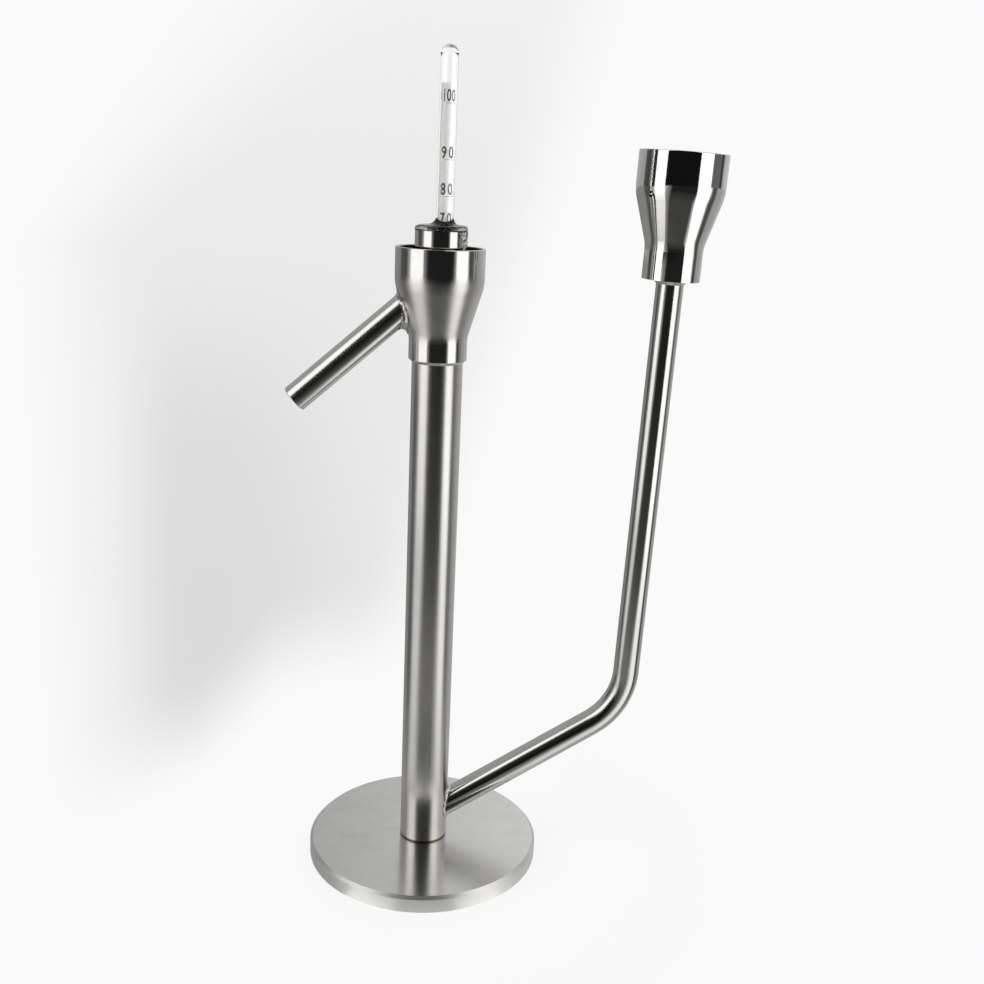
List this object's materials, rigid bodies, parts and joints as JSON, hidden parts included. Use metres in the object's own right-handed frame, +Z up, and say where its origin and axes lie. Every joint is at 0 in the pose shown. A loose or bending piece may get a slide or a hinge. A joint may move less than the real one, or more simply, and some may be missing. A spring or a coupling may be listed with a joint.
{
  "type": "still parrot",
  "caption": "Upright stainless tube on a round foot with an overflow cup and spout, a bent inlet tube with a cup, and a glass float that reads spirit strength.",
  "frame": {"origin": "centre of the foot disc's underside, on the column's axis", "axes": "+Z up along the column, +X towards the inlet cup, -X towards the spout"},
  "size_m": [0.1846, 0.1074, 0.3635],
  "materials": {
    "disc_steel": "polished",
    "column_steel": "satin",
    "cup_steel": "polished",
    "tube_steel": "polished",
    "weld_steel": "satin",
    "plug_steel": "satin",
    "screw_steel": "satin",
    "float_glass": "gloss",
    "scale_paper": "matte",
    "shot_steel": "satin",
    "seal_resin": "gloss"
  },
  "bodies": {
    "stand": {"base_disc": "disc_steel", "base_screw": "screw_steel", "column_plug": "plug_steel", "column_tube": "column_steel", "overflow_cup": "cup_steel", "overflow_cup_weld": "weld_steel", "spout_tube": "tube_steel", "spout_weld": "weld_steel", "inlet_tube": "tube_steel", "inlet_weld": "weld_steel", "inlet_cup": "cup_steel", "inlet_cup_floor": "cup_steel", "inlet_cup_weld": "weld_steel"},
    "float": {"float_glass": "float_glass", "scale_paper": "scale_paper", "ballast_shot": "shot_steel", "ballast_seal": "seal_resin"}
  },
  "joints": [
    {"name": "float_rise", "type": "slide", "parent": "stand", "child": "float", "axis": [0, 0, 1], "range_m": [-0.05, 0.0415], "stiffness_N_per_m": 0.3734, "springref_m": 0.38741}
  ]
}
